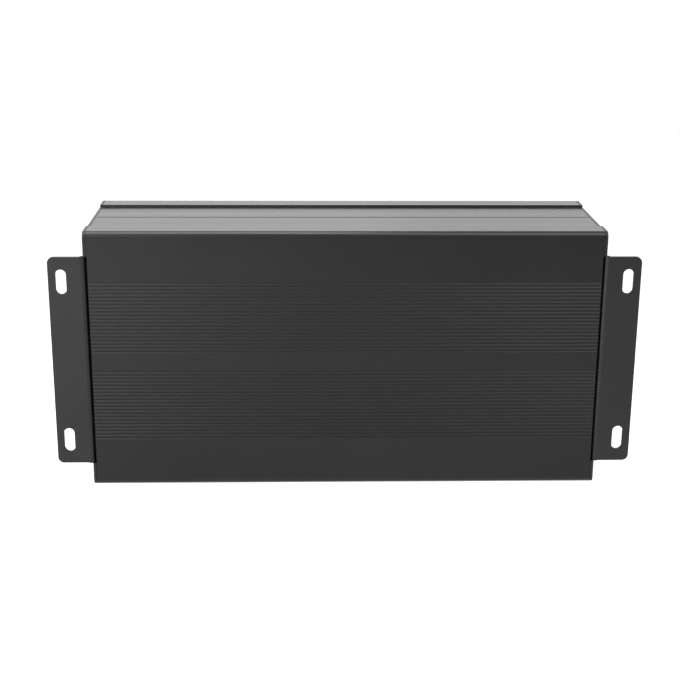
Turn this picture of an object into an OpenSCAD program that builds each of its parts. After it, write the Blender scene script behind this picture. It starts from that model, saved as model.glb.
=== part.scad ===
// Aluminium project box: two identical extruded half shells, closed by two folded end plates
// that carry slotted wall ears. The box stands on its long narrow side, +X along its length,
// the grooved mounting face with the ears towards -Y, all sizes in millimetres.

/* [Extrusion] */
// Length of both half shells
body_length = 250; // [120:1:400]
// Width of the section, over the lips
section_width = 130.5; // [100:0.5:200]
// Depth of the section, over the two big faces
section_depth = 78; // [64:0.5:140]
// Thickness of the two big faces
face_wall = 2.5; // [1.8:0.1:4]
// Thickness of the narrow side walls
side_wall = 2; // [1.6:0.1:3]
// Radius on the four long outer corners
corner_radius = 3; // [0.6:0.1:3.2]

/* [Side lips] */
// Depth of each lip, measured from the big face
lip_depth = 13.9; // [12:0.1:20]
// Height by which a lip stands proud of the side wall
lip_height = 1.1; // [0.8:0.1:2.5]
// Radius on the edge of a lip that faces the seam
lip_edge_radius = 0.2; // [0.2:0.1:0.7]
// Radius in the corner between a lip and the side wall
lip_foot_radius = 0.35; // [0.2:0.05:0.4]

/* [Grooved faces] */
// Distance from one groove to the next
groove_pitch = 1.83; // [1.3:0.01:3]
// Width of a groove at the surface
groove_width = 1.2; // [0.5:0.05:1.25]
// Width of a groove at its floor
groove_floor = 0.2; // [0.1:0.05:0.4]
// Depth of a groove
groove_depth = 0.3; // [0.1:0.05:0.8]
// Plain strip between the two bands of grooves
centre_strip = 9.2; // [4:0.1:20]
// Plain margin beside each band of grooves
band_margin = 24.6; // [8:0.1:30]

/* [Seam] */
// Thickness of the tongue along one edge of a half shell
tongue_thickness = 0.9; // [0.6:0.05:1]
// Length of the tongue past the seam
tongue_length = 2; // [1:0.1:3]
// Gap round the tongue in its rebate
seam_fit = 0.1; // [0.05:0.01:0.2]
// Width of the shadow line along the seam, outside
seam_width = 1.2; // [0.9:0.1:2]
// Width of the shadow line at its floor
seam_floor = 0.8; // [0.2:0.1:0.9]
// Depth of the shadow line
seam_depth = 0.4; // [0.2:0.05:0.7]

/* [Board guides] */
// Slot that takes the edge of a circuit board
guide_slot = 2; // [1.2:0.1:3]
// Thickness of the ribs on both sides of a slot
guide_rib = 1.2; // [0.8:0.1:2]
// Height of the ribs off the side wall
guide_height = 2.5; // [1.5:0.1:4]
// Distance from one slot to the next
guide_pitch = 8.5; // [7.5:0.5:15]
// Gap between the lip and the first rib
guide_gap = 0.8; // [0.2:0.1:3]

/* [End screws] */
// Thread diameter
screw_diameter = 3; // [2.5:0.1:4]
// Length of a screw over its flat head
screw_length = 10; // [6:0.5:16]
// Straight rim above the cone of the countersunk head
head_rim = 0.2; // [0.1:0.05:0.4]
// Depth of the head below the face of its end plate
head_sink = 0.1; // [0.05:0.05:0.3]
// Span of the cross recess
recess_span = 2.8; // [2:0.1:3.4]
// Width of one arm of the cross recess
recess_width = 0.7; // [0.4:0.1:1]
// Depth of the cross recess
recess_depth = 1; // [0.6:0.1:1.2]
// Distance of each screw from the two nearest outer faces
screw_inset = 6.5; // [6:0.1:9]
// Gap across the thread in its channel
thread_fit = 0.1; // [0.05:0.01:0.2]
// Gap across the thread in the end plate
hole_fit = 0.4; // [0.2:0.1:0.8]
// Wall round a screw channel
channel_wall = 1.6; // [1.2:0.1:2.2]
// Mouth by which a screw channel opens to the inside
channel_mouth = 1.6; // [0.8:0.1:2]

/* [End plates] */
// Sheet thickness
sheet = 1.5; // [1.3:0.1:2.5]
// Inside radius of the fold to the ear
bend_radius = 1.5; // [0.5:0.1:2.5]
// Reach of an ear past the end plate
ear_reach = 17.3; // [14:0.1:40]
// Gap between a countersink and the end of an ear
ear_clearance = 2.7; // [1.5:0.1:10]
// Radius on the outer corners of an ear
ear_corner_radius = 3; // [1:0.5:5]
// Radius in the two inner corners of an ear, beside its fold
ear_root_radius = 0.3; // [0.2:0.1:1.5]
// Width of an ear slot
slot_width = 5.2; // [4.2:0.1:7]
// Length of an ear slot, end to end
slot_length = 12.4; // [8:0.1:20]
// Distance of a slot from the outer edge of its ear
slot_edge_inset = 6.2; // [5.5:0.1:7.5]
// Distance of a slot's middle from the end of its ear
slot_end_inset = 12.3; // [11.5:0.1:20]

/* [Hidden] */
$fn = 64;
overcut = 1;
half_length = body_length / 2;
half_width = section_width / 2;
half_depth = section_depth / 2;
wall_out = half_width - lip_height;
wall_in = wall_out - side_wall;
lip_in = half_width - side_wall;
thread_radius = screw_diameter / 2;
head_cone = sheet - head_sink - head_rim;
head_radius = thread_radius + head_cone;
sink_radius = thread_radius + sheet;
channel_radius = (screw_diameter + thread_fit) / 2;
boss_radius = channel_radius + channel_wall;
screw_y = half_depth - screw_inset;
screw_z = half_width - screw_inset;
groove_start = (centre_strip + groove_width) / 2;
groove_room = half_width - band_margin - groove_width / 2 - groove_start;
groove_steps = floor(groove_room / groove_pitch);
guide_half = guide_slot / 2 + guide_rib;
guide_start = lip_depth + guide_gap + guide_half;
guide_room = half_depth - tongue_length - seam_fit - guide_half - guide_start;
guide_steps = floor(guide_room / guide_pitch);
bend_outer = bend_radius + sheet;
ear_half = screw_z - sink_radius - ear_clearance;
fold_half = ear_half + ear_root_radius;
ear_flat = ear_reach - bend_radius;
slot_z = ear_half - slot_end_inset;
slot_straight = slot_length - slot_width;
anodised = "#3b3b3c";
sheet_black = "#434344";
screw_black = "#2a2a2b";

// Stands a section drawn in depth and width up along the length of the box
module along_length(length) {
    translate([0, 0, half_width])
        rotate([90, 0, 90])
            linear_extrude(length)
                children();
}

// Rectangle with four equal round corners, centred on the width
module rounded_block(from, to, half, radius) {
    translate([from + radius, -half])
        square([to - from - 2 * radius, 2 * half]);
    translate([from, radius - half])
        square([to - from, 2 * (half - radius)]);
    for (across = [from + radius, to - radius], side = [-1, 1])
        translate([across, side * (half - radius)])
            circle(radius);
}

// Lip along both edges of the mounting face, with round long corners and a fillet at its foot
module lip_section() {
    intersection() {
        rounded_block(-half_depth, half_depth, half_width, corner_radius);
        rounded_block(-half_depth - lip_depth, lip_depth - half_depth, half_width, lip_edge_radius);
    }
    for (side = [-1, 1])
        translate([lip_depth - half_depth, side * wall_out])
            difference() {
                square(2 * lip_foot_radius, center = true);
                translate([lip_foot_radius, side * lip_foot_radius])
                    circle(lip_foot_radius);
            }
}

// Block between the side walls, from the middle of the lip
module core_section(to) {
    translate([lip_depth / 2 - half_depth, -wall_out])
        square([half_depth - lip_depth / 2 + to, 2 * wall_out]);
}

// Inside of a half shell: wide behind the lips, narrower between the side walls
module hollow_section() {
    translate([face_wall - half_depth, -lip_in])
        square([lip_depth - side_wall - face_wall, 2 * lip_in]);
    translate([face_wall - half_depth, -wall_in])
        square([half_depth - face_wall + tongue_length + overcut, 2 * wall_in]);
}

// Screw boss in each corner, rooted half way into both walls
module boss_section() {
    root_y = screw_inset - face_wall / 2;
    root_z = screw_inset - side_wall / 2;
    for (side = [-1, 1]) {
        translate([-screw_y, side * screw_z])
            circle(boss_radius);
        translate([-screw_y - root_y / 2, side * (screw_z + root_z / 2)])
            square([root_y, root_z], center = true);
    }
}

// Round channel for a screw, open to the inside of the box
module channel_section() {
    for (side = [-1, 1])
        translate([-screw_y, side * screw_z]) {
            circle(channel_radius);
            rotate(-45 * side)
                translate([0, -channel_mouth / 2])
                    square([boss_radius + overcut, channel_mouth]);
        }
}

// Pairs of ribs on the inside of both side walls, rooted half way into the wall
module guide_section() {
    rib_span = guide_height + side_wall / 2;
    rib_offset = (guide_slot + guide_rib) / 2;
    for (step = [0 : guide_steps], rib = [-rib_offset, rib_offset], side = [-1, 1])
        translate([guide_start + step * guide_pitch + rib - half_depth,
                   side * (wall_in - guide_height + rib_span / 2)])
            square([guide_rib, rib_span], center = true);
}

// Two bands of fine grooves with slanted flanks in the big face
module groove_section() {
    for (side = [-1, 1], step = [0 : groove_steps])
        translate([-half_depth, side * (groove_start + step * groove_pitch)])
            polygon([[-overcut, -groove_width / 2], [0, -groove_width / 2],
                     [groove_depth, -groove_floor / 2], [groove_depth, groove_floor / 2],
                     [0, groove_width / 2], [-overcut, groove_width / 2]]);
}

// Tongue on the inner half of the upper wall
module tongue_section() {
    translate([-tongue_length, wall_in])
        square([2 * tongue_length, tongue_thickness]);
}

// Rebate in the lower wall that takes the tongue of the other half
module rebate_section() {
    rebate = tongue_length + seam_fit;
    translate([-rebate, -wall_in - tongue_thickness - seam_fit])
        square([rebate + overcut, tongue_thickness + seam_fit + overcut]);
}

// Shallow step with slanted walls that draws the seam as a fine dark line outside
module seam_section() {
    for (side = [-1, 1])
        translate([0, side * wall_out])
            polygon([[-seam_width / 2, 0], [-seam_floor / 2, -seam_depth], [seam_floor / 2, -seam_depth],
                     [seam_width / 2, 0], [seam_floor / 2, seam_depth], [-seam_floor / 2, seam_depth]]);
}

// Section of one half shell, the same for both halves
module half_section() {
    difference() {
        union() {
            difference() {
                union() {
                    lip_section();
                    core_section(0);
                }
                hollow_section();
            }
            boss_section();
            guide_section();
        }
        channel_section();
        groove_section();
        rebate_section();
        seam_section();
    }
    tongue_section();
}

module mounting_half() {
    color(anodised)
        translate([-half_length, 0, 0])
            along_length(body_length)
                half_section();
}

// The same extrusion turned about the length of the box
module cover_half() {
    color(anodised)
        translate([-half_length, 0, section_width])
            rotate([180, 0, 0])
                along_length(body_length)
                    half_section();
}

// Outline of an end plate: the closed section without its seam and grooves
module plate_section() {
    core_section(half_depth - lip_depth / 2);
    lip_section();
    rotate(180)
        lip_section();
}

// Flat of the plate, notched where the fold starts and drilled for the screws
module plate_flat() {
    along_length(sheet)
        difference() {
            plate_section();
            translate([-half_depth - overcut, -fold_half])
                square([bend_outer + overcut, 2 * fold_half]);
            for (y = [-screw_y, screw_y], z = [-screw_z, screw_z])
                translate([y, z])
                    circle((screw_diameter + hole_fit) / 2);
        }
}

// Cones that sink the screw heads into the outer face of the plate
module countersinks() {
    for (y = [-screw_y, screw_y], z = [-screw_z, screw_z])
        translate([0, y, half_width + z])
            rotate([0, 90, 0])
                cylinder(h = sheet + overcut, r1 = thread_radius, r2 = sink_radius + overcut);
}

// Quarter turn from the plate into the ear
module plate_fold() {
    translate([sheet + bend_radius, bend_outer - half_depth, half_width - fold_half])
        linear_extrude(2 * fold_half)
            intersection() {
                difference() {
                    circle(bend_outer);
                    circle(bend_radius);
                }
                translate([-bend_outer, -bend_outer])
                    square(bend_outer);
            }
}

// Flat ear with a slot near each end
module plate_ear() {
    translate([sheet + bend_radius, sheet - half_depth, half_width])
        rotate([90, 0, 0])
            linear_extrude(sheet)
                difference() {
                    ear_outline();
                    for (side = [-1, 1])
                        translate([ear_flat - slot_edge_inset, side * slot_z])
                            slot_outline();
                }
}

// Ear with round outer corners, widened to the fold by a fillet at each end
module ear_outline() {
    intersection() {
        rounded_block(-ear_flat, ear_flat, ear_half, ear_corner_radius);
        translate([0, -ear_half])
            square([ear_flat, 2 * ear_half]);
    }
    difference() {
        translate([0, -fold_half])
            square([ear_root_radius, 2 * fold_half]);
        for (side = [-1, 1])
            translate([ear_root_radius, side * fold_half])
                circle(ear_root_radius);
    }
}

module slot_outline() {
    translate([-slot_width / 2, -slot_straight / 2])
        square([slot_width, slot_straight]);
    for (side = [-1, 1])
        translate([0, side * slot_straight / 2])
            circle(slot_width / 2);
}

// End plate for the +X end, folded from one sheet
module end_plate() {
    translate([half_length, 0, 0]) {
        difference() {
            plate_flat();
            countersinks();
        }
        plate_fold();
        plate_ear();
    }
}

module left_end_plate() {
    color(sheet_black)
        mirror([1, 0, 0])
            end_plate();
}

module right_end_plate() {
    color(sheet_black)
        end_plate();
}

// Countersunk screw with a cross recess, sunk below the plate face at x = 0
module flat_screw() {
    rotate([0, 90, 0])
        translate([0, 0, -head_sink])
            difference() {
                union() {
                    translate([0, 0, -head_rim])
                        cylinder(h = head_rim, r = head_radius);
                    translate([0, 0, -head_rim - head_cone])
                        cylinder(h = head_cone, r1 = thread_radius, r2 = head_radius);
                    translate([0, 0, -screw_length])
                        cylinder(h = screw_length - head_rim, r = thread_radius);
                }
                for (turn = [0, 90])
                    rotate(turn)
                        translate([-recess_span / 2, -recess_width / 2, -recess_depth])
                            cube([recess_span, recess_width, recess_depth + overcut]);
            }
}

module end_screws() {
    for (y = [-screw_y, screw_y], z = [-screw_z, screw_z])
        translate([half_length + sheet, y, half_width + z])
            flat_screw();
}

module left_end_screws() {
    color(screw_black)
        mirror([1, 0, 0])
            end_screws();
}

module right_end_screws() {
    color(screw_black)
        end_screws();
}

mounting_half();
cover_half();
left_end_plate();
right_end_plate();
left_end_screws();
right_end_screws();
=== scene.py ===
from math import pi, radians, tan

import bpy
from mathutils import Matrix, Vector


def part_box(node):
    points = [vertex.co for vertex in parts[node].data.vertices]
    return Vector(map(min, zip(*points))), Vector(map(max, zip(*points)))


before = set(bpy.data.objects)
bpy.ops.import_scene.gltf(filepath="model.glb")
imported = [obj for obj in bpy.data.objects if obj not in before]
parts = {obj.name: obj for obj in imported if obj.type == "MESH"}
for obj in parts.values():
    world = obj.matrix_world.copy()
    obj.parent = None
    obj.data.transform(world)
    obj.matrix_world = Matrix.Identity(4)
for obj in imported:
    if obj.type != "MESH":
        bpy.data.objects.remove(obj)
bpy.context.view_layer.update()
mm = 0.001  # the frame is in metres, sizes below are in millimetres
print("frame loaded:", ", ".join(sorted(parts)))


def hexToLinear(code):
    channels = [int(code[i:i + 2], 16) / 255 for i in (1, 3, 5)]
    return [c / 12.92 if c <= 0.04045 else ((c + 0.055) / 1.055) ** 2.4 for c in channels] + [1.0]


# adds one node: settings are its properties, inputs are socket values or (node, output) links,
# with _ for a space in a socket's name, or i and its number where names repeat
# (a colour mix takes its factor at 0 and its colours at 6 and 7, and gives the result at 2)
def addNode(tree, kind, settings=None, **inputs):
    node = tree.nodes.new(kind)
    for name, value in (settings or {}).items():
        setattr(node, name, value)
    for name, value in inputs.items():
        key = name.replace("_", " ")
        numbered = key[0] == "i" and key[1:].isdigit()
        socket = node.inputs[int(key[1:])] if numbered else node.inputs[key]
        if isinstance(value, tuple) and isinstance(value[0], bpy.types.Node):
            tree.links.new(value[0].outputs[value[1]], socket)
        else:
            socket.default_value = value
    return node


def newMaterial(name):
    material = bpy.data.materials.new(name)
    material.use_nodes = True
    material.node_tree.nodes.clear()
    return material, material.node_tree


def dress(nodeName, material):
    mesh = parts[nodeName].data
    mesh.materials.clear()
    mesh.materials.append(material)


# half shells
shellFinish = {
    "colour": "#282828",
    "paler": "#2c2c2c",
    "cloudSize": 60.0,       # mm, slow drift between those two
    "grooves": "#2d2d2d",    # painted light: the grooves drawn a shade paler than the face between them
    "grooveDepth": (0.02, 0.32),   # mm behind the big faces
    "creviceShade": "#0a0a0a",      # painted shade: the shells' ends drawn black beside the ears, in the crevice at the plates' fold
    "creviceShadeWidth": 0.35,      # mm of the length
    "creviceShadeMargin": 12.0,     # mm left out at the top and the bottom, where the plates lie flat
    "metallic": 1.0,
    "roughness": 0.26,
    "roughnessSwing": 0.06,  # along the die lines
    "dieLineSpacing": 5.0,   # mm between die lines, drawn coarser than the real 0.6 so that they show
    "dieLineDepth": 0.01,    # mm
    "dieLineRun": 600.0,     # mm along the extrusion
    "blastGrain": 0.35,      # mm, drawn coarser than the real 0.1 so that it shows
    "grainDepth": 0.002,     # mm
}


# extruded aluminium, satin etched and dyed black: dark, with a grey sheen at a low angle
# and faint streaks along its length; painted highlight in the grooves, painted shade at the ends by the
# ears
def blackAnodisedExtrusion(s):
    material, tree = newMaterial("black anodised aluminium, extruded and satin etched")
    place = addNode(tree, "ShaderNodeTexCoord")
    along = addNode(tree, "ShaderNodeMapping", Vector=(place, "Object"),
                    Scale=(s["dieLineSpacing"] / s["dieLineRun"], 1.0, 1.0))
    lines = addNode(tree, "ShaderNodeTexNoise", Vector=(along, "Vector"),
                    Scale=1 / (s["dieLineSpacing"] * mm), Detail=2.0)
    grain = addNode(tree, "ShaderNodeTexNoise", Vector=(place, "Object"),
                    Scale=1 / (s["blastGrain"] * mm), Detail=1.0)
    clouds = addNode(tree, "ShaderNodeTexNoise", Vector=(place, "Object"),
                     Scale=1 / (s["cloudSize"] * mm), Detail=3.0)
    tint = addNode(tree, "ShaderNodeMix", {"data_type": "RGBA"}, i0=(clouds, "Fac"),
                   i6=hexToLinear(s["colour"]), i7=hexToLinear(s["paler"]))
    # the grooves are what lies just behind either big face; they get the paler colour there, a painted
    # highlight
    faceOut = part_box("cover_half")[1][1]
    shallow, deep = [faceOut - d * mm for d in s["grooveDepth"]]
    split = addNode(tree, "ShaderNodeSeparateXYZ", Vector=(place, "Object"))
    depth = addNode(tree, "ShaderNodeMath", {"operation": "ABSOLUTE"}, i0=(split, "Y"))
    inGroove = addNode(tree, "ShaderNodeMath", {"operation": "COMPARE"}, i0=(depth, 0),
                       i1=(shallow + deep) / 2, i2=(shallow - deep) / 2)
    withGrooveLight = addNode(tree, "ShaderNodeMix", {"data_type": "RGBA"}, i0=(inGroove, 0), i6=(tint, 2),
                   i7=hexToLinear(s["grooves"]))
    # painted shade on the shells' ends, black only on the half with the ears
    end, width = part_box("mounting_half")[1][0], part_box("mounting_half")[1][2]
    outwards = addNode(tree, "ShaderNodeMath", {"operation": "ABSOLUTE"}, i0=(split, "X"))
    endShadeBand = addNode(tree, "ShaderNodeMath", {"operation": "GREATER_THAN"}, i0=(outwards, 0),
                   i1=end - s["creviceShadeWidth"] * mm)
    beside = addNode(tree, "ShaderNodeMath", {"operation": "COMPARE"}, i0=(split, "Z"), i1=width / 2,
                     i2=width / 2 - s["creviceShadeMargin"] * mm)
    earSide = addNode(tree, "ShaderNodeMath", {"operation": "LESS_THAN"}, i0=(split, "Y"), i1=0.0)
    atEars = addNode(tree, "ShaderNodeMath", {"operation": "MULTIPLY"}, i0=(beside, 0), i1=(earSide, 0))
    black = addNode(tree, "ShaderNodeMath", {"operation": "MULTIPLY"}, i0=(endShadeBand, 0), i1=(atEars, 0))
    colour = addNode(tree, "ShaderNodeMix", {"data_type": "RGBA"}, i0=(black, 0), i6=(withGrooveLight, 2),
                     i7=hexToLinear(s["creviceShade"]))
    rough = addNode(tree, "ShaderNodeMapRange", Value=(lines, "Fac"),
                    To_Min=s["roughness"] - s["roughnessSwing"],
                    To_Max=s["roughness"] + s["roughnessSwing"])
    lineBump = addNode(tree, "ShaderNodeBump", Distance=s["dieLineDepth"] * mm, Height=(lines, "Fac"))
    bump = addNode(tree, "ShaderNodeBump", Distance=s["grainDepth"] * mm, Height=(grain, "Fac"),
                   Normal=(lineBump, "Normal"))
    surface = addNode(tree, "ShaderNodeBsdfPrincipled", Metallic=s["metallic"], Base_Color=(colour, 2),
                      Roughness=(rough, "Result"), Normal=(bump, "Normal"))
    addNode(tree, "ShaderNodeOutputMaterial", Surface=(surface, "BSDF"))
    return material


extrusion = blackAnodisedExtrusion(shellFinish)
for half in ("mounting_half", "cover_half"):
    dress(half, extrusion)

# end plates
plateFinish = {
    "colour": "#2a2a2a",
    "paler": "#2f2f2f",
    "cloudSize": 25.0,       # mm, slow drift between those two
    # painted shade along the joint to the shells
    "jointShade": "#0c0c0c",
    "jointShadeWidth": 0.3,       # mm of each edge painted black, as shade, where it meets the shells
    "metallic": 0.9,
    "roughness": 0.42,
    "blastGrain": 0.4,       # mm, drawn coarser than the real 0.1 so that it shows
    "grainDepth": 0.006,     # mm
    "edgeRadius": 0.2,       # mm, tumbled off the sheet's edges
}


# sheet aluminium, bead blasted and dyed black: a matt dark grey, with painted shade along the joint to the
# shells
def blackAnodisedSheet(s):
    material, tree = newMaterial("black anodised aluminium, bead blasted sheet")
    place = addNode(tree, "ShaderNodeTexCoord")
    grain = addNode(tree, "ShaderNodeTexNoise", Vector=(place, "Object"),
                    Scale=1 / (s["blastGrain"] * mm), Detail=2.0)
    clouds = addNode(tree, "ShaderNodeTexNoise", Vector=(place, "Object"),
                     Scale=1 / (s["cloudSize"] * mm), Detail=3.0)
    tint = addNode(tree, "ShaderNodeMix", {"data_type": "RGBA"}, i0=(clouds, "Fac"),
                   i6=hexToLinear(s["colour"]), i7=hexToLinear(s["paler"]))
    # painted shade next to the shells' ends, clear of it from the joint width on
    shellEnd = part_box("mounting_half")[1][0]
    split = addNode(tree, "ShaderNodeSeparateXYZ", Vector=(place, "Object"))
    outwards = addNode(tree, "ShaderNodeMath", {"operation": "ABSOLUTE"}, i0=(split, "X"))
    clear = addNode(tree, "ShaderNodeMapRange", Value=(outwards, 0),
                    From_Min=shellEnd + s["jointShadeWidth"] * mm / 2,
                    From_Max=shellEnd + s["jointShadeWidth"] * mm)
    colour = addNode(tree, "ShaderNodeMix", {"data_type": "RGBA"}, i0=(clear, 0),
                     i6=hexToLinear(s["jointShade"]), i7=(tint, 2))
    rounded = addNode(tree, "ShaderNodeBevel", {"samples": 6}, Radius=s["edgeRadius"] * mm)
    bump = addNode(tree, "ShaderNodeBump", Distance=s["grainDepth"] * mm, Height=(grain, "Fac"),
                   Normal=(rounded, 0))
    surface = addNode(tree, "ShaderNodeBsdfPrincipled", Metallic=s["metallic"], Base_Color=(colour, 2),
                      Roughness=s["roughness"], Normal=(bump, "Normal"))
    addNode(tree, "ShaderNodeOutputMaterial", Surface=(surface, "BSDF"))
    return material


sheet = blackAnodisedSheet(plateFinish)
for plate in ("left_end_plate", "right_end_plate"):
    dress(plate, sheet)

# end screws
screwFinish = {
    "colour": "#1b1b1d",
    "worn": "#2a2a2c",
    "patchSize": 1.5,        # mm
    "metallic": 1.0,
    "roughness": 0.32,
    "roughnessSwing": 0.08,
}


# steel, zinc plated and passivated black: glossier than the plates, with a faint patchy bloom
def blackZincSteel(s):
    material, tree = newMaterial("black zinc plated steel, cold headed")
    place = addNode(tree, "ShaderNodeTexCoord")
    patches = addNode(tree, "ShaderNodeTexNoise", Vector=(place, "Object"),
                      Scale=1 / (s["patchSize"] * mm), Detail=4.0)
    tint = addNode(tree, "ShaderNodeMix", {"data_type": "RGBA"}, i0=(patches, "Fac"),
                   i6=hexToLinear(s["colour"]), i7=hexToLinear(s["worn"]))
    rough = addNode(tree, "ShaderNodeMapRange", Value=(patches, "Fac"),
                    To_Min=s["roughness"] - s["roughnessSwing"],
                    To_Max=s["roughness"] + s["roughnessSwing"])
    surface = addNode(tree, "ShaderNodeBsdfPrincipled", Metallic=s["metallic"], Base_Color=(tint, 2),
                      Roughness=(rough, "Result"))
    addNode(tree, "ShaderNodeOutputMaterial", Surface=(surface, "BSDF"))
    return material


plated = blackZincSteel(screwFinish)
for screws in ("left_end_screws", "right_end_screws"):
    dress(screws, plated)
print("finishes on")

# studio
studio = {
    "paper": "#f4f4f4",
    "room": "#ffffff",
    "leftRight": (-1400.0, 1400.0),   # mm, edges of the paper
    "frontBack": (-1400.0, 1200.0),   # mm, with the white room beyond it
    "glow": 0.775,                    # lift of the paper to the eye and in reflections, 1 is white
    "fill": 0.15,                     # room light
}
left, right = studio["leftRight"]
front, back = studio["frontBack"]
corners = ((left, front), (right, front), (right, back), (left, back))
paperMesh = bpy.data.meshes.new("paper")
paperMesh.from_pydata([(x * mm, y * mm, 0) for x, y in corners], [], [(0, 1, 2, 3)])
paper = bpy.data.objects.new("paper", paperMesh)
bpy.context.scene.collection.objects.link(paper)


# 1 for rays from the eye, from a gloss or through glass, 0 for the light that falls on things
def seenRays(tree):
    path = addNode(tree, "ShaderNodeLightPath")
    seen = addNode(tree, "ShaderNodeMath", {"operation": "MAXIMUM"}, i0=(path, "Is Camera Ray"),
                   i1=(path, "Is Glossy Ray"))
    return addNode(tree, "ShaderNodeMath", {"operation": "MAXIMUM"}, i0=(seen, 0),
                   i1=(path, "Is Transmission Ray"))


# paper, calendered smooth: flat white with a soft shadow
paperMaterial, tree = newMaterial("white paper, smooth")
glow = addNode(tree, "ShaderNodeMath", {"operation": "MULTIPLY"}, i0=(seenRays(tree), 0), i1=studio["glow"])
matt = addNode(tree, "ShaderNodeBsdfDiffuse", Color=hexToLinear(studio["paper"]))
lift = addNode(tree, "ShaderNodeEmission", Strength=(glow, 0))
both = addNode(tree, "ShaderNodeAddShader", i0=(matt, 0), i1=(lift, 0))
addNode(tree, "ShaderNodeOutputMaterial", Surface=(both, 0))
paperMesh.materials.append(paperMaterial)

# the room looks white and lights the part only by fill
world = bpy.data.worlds.new("white room")
bpy.context.scene.world = world
world.use_nodes = True
tree = world.node_tree
tree.nodes.clear()
level = addNode(tree, "ShaderNodeMapRange", Value=(seenRays(tree), 0), To_Min=studio["fill"], To_Max=1.0)
sky = addNode(tree, "ShaderNodeBackground", Color=hexToLinear(studio["room"]), Strength=(level, 0))
addNode(tree, "ShaderNodeOutputWorld", Surface=(sky, 0))

# soft lamps, in mm: bright is the panel's glow seen from straight in front, where 1 is white paper,
# spread is the angle that a grid on its front lets through, and flagged lamps are kept off the paper
noGrid = 179  # degrees
softboxes = {
    # from above, for the upper edges
    "topBox": {"at": (-150, 15, 450), "aim": (-150, 15, 0), "size": (350, 290),
               "bright": 9.0, "spread": 110, "flagged": True},
    "topRight": {"at": (125, -25, 450), "aim": (125, -25, 0), "size": (200, 210),
                 "bright": 2.0, "spread": 110, "flagged": True},
    "highLeft": {"at": (-250, -390, 620), "aim": (-125, -39, 130), "size": (280, 120),
                 "bright": 4.0, "spread": 60, "flagged": True},
    # pools on the paper, which the grooved face mirrors
    "leftBox": {"at": (-340, -530, 270), "aim": (-300, -490, 0), "size": (240, 240),
                "bright": 10.0, "spread": 150},
    "leftNear": {"at": (-420, -220, 350), "aim": (-130, -200, 0), "size": (240, 240),
                 "bright": 8.1, "spread": 120},
    "rightNear": {"at": (420, -200, 350), "aim": (140, -170, 0), "size": (240, 240),
                  "bright": 3.3, "spread": 120},
    # broad light from the left and from above
    "sideBox": {"at": (-800, -500, 320), "aim": (0, -480, 250), "size": (800, 560), "bright": 4.2},
    "frontBox": {"at": (300, -290, 1000), "aim": (110, 40, 130), "size": (520, 640),
                 "bright": 6.0, "spread": 54},
    # out in front, for the walls of the grooves, and one low down for the fold of the right ear
    "nearWall": {"at": (-450, -1500, 480), "aim": (-450, -39, 130), "size": (900, 950), "bright": 0.65},
    "lowLeft": {"at": (-560, -470, 60), "aim": (126, -40, 90), "size": (240, 90),
                "bright": 28.0, "spread": 40, "flagged": True},
    "nearHigh": {"at": (0, -1250, 1300), "aim": (0, -39, 65), "size": (1500, 480), "bright": 0.3},
    "nearLeft": {"at": (-480, -1250, 1120), "aim": (-110, -39, 65), "size": (420, 420), "bright": 1.9},
    "nearRight": {"at": (530, -1250, 1350), "aim": (110, -39, 65), "size": (420, 520), "bright": 1.4},
    # far behind, which the narrow side mirrors at a low angle
    "backWall": {"at": (-600, 2600, 850), "aim": (-300, 0, 300), "size": (4200, 1700), "bright": 0.36},
    "backLeft": {"at": (-1100, 2500, 850), "aim": (-700, 0, 300), "size": (2700, 1700), "bright": 0.14},
}
offPaper = bpy.data.collections.new("off the paper")
offPaper.objects.link(paper)
offPaper.collection_objects[0].light_linking.link_state = "EXCLUDE"
for name, s in softboxes.items():
    lamp = bpy.data.lights.new(name, "AREA")
    lamp.shape = "RECTANGLE"
    lamp.size, lamp.size_y = s["size"][0] * mm, s["size"][1] * mm
    lamp.spread = radians(s.get("spread", noGrid))
    halfSpread = lamp.spread / 2
    gridGain = tan(halfSpread) / (tan(halfSpread) - halfSpread)  # the same power in a narrower beam
    lamp.energy = s["bright"] * pi * lamp.size * lamp.size_y / gridGain
    holder = bpy.data.objects.new(name, lamp)
    bpy.context.scene.collection.objects.link(holder)
    holder.location = Vector(s["at"]) * mm
    holder.rotation_euler = (Vector(s["at"]) - Vector(s["aim"])).to_track_quat("Z", "Y").to_euler()
    holder.visible_camera = False
    if s.get("flagged"):
        holder.light_linking.receiver_collection = offPaper
print("studio lit")

# camera, placed in mm and turned in degrees
shot = {
    "at": (-22.400, -676.739, 276.281),
    "turn": (72.609, -0.376, -1.640),
    "lens": 72.068,
    "sensor": 36,
}
camera = bpy.data.objects.new("camera", bpy.data.cameras.new("camera"))
bpy.context.scene.collection.objects.link(camera)
camera.location = Vector(shot["at"]) * mm
camera.rotation_euler = [radians(a) for a in shot["turn"]]
camera.data.lens = shot["lens"]
camera.data.sensor_width = shot["sensor"]
bpy.context.scene.camera = camera
bpy.context.scene.view_settings.view_transform = "Standard"
print("camera set")
